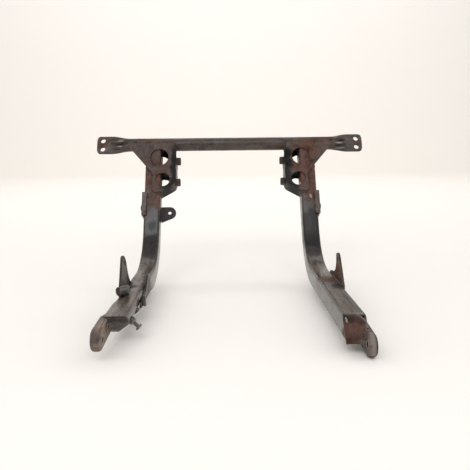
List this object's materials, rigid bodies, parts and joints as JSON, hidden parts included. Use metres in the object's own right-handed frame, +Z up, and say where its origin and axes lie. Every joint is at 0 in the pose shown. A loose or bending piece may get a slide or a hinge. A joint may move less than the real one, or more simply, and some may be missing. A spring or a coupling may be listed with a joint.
{
  "type": "motorcycle engine mount bracket",
  "caption": "Bolt-on lower engine cradle: bent square rails on a crossbar, with engine mount boxes, frame lugs, tabs and a cut-down side-stand bracket.",
  "frame": {"origin": "middle of the crossbar's axis", "axes": "+X along the crossbar to the part's own right as pictured, +Z up with the level rails level, -Y towards the free ends of the rails"},
  "size_m": [0.529, 0.4781, 0.2765],
  "materials": {
    "black_paint": "worn gloss black paint",
    "rusty_paint": "old black paint with rust coming through",
    "rust": "rust-covered steel",
    "dull_steel": "dull, dirty zinc-plated steel"
  },
  "bodies": {
    "root": {"crossbar": "rusty_paint", "rail_left": "black_paint", "rail_right": "black_paint", "mount_plate_front_left": "rusty_paint", "mount_plate_front_right": "rusty_paint", "mount_plate_back_left": "black_paint", "mount_plate_back_right": "black_paint", "mount_web_left": "black_paint", "mount_web_right": "black_paint", "mount_nut_upper_left": "rust", "mount_nut_upper_right": "rust", "mount_nut_lower_left": "rust", "mount_nut_lower_right": "rust", "side_clip_left": "rusty_paint", "side_clip_right": "rusty_paint", "side_clip_bolt_left": "rust", "side_clip_bolt_right": "rust", "hose_ear_left": "black_paint", "tab_left": "rusty_paint", "tab_right": "rusty_paint", "tab_bolt_left": "rust", "tab_boss_left": "dull_steel", "lug_left": "rusty_paint", "lug_right": "rust", "stand_bracket": "black_paint", "stand_stop": "rusty_paint", "stand_nut": "rust", "stand_pin_seat": "rust", "stand_washer": "dull_steel", "stand_pin": "dull_steel"}
  },
  "joints": []
}
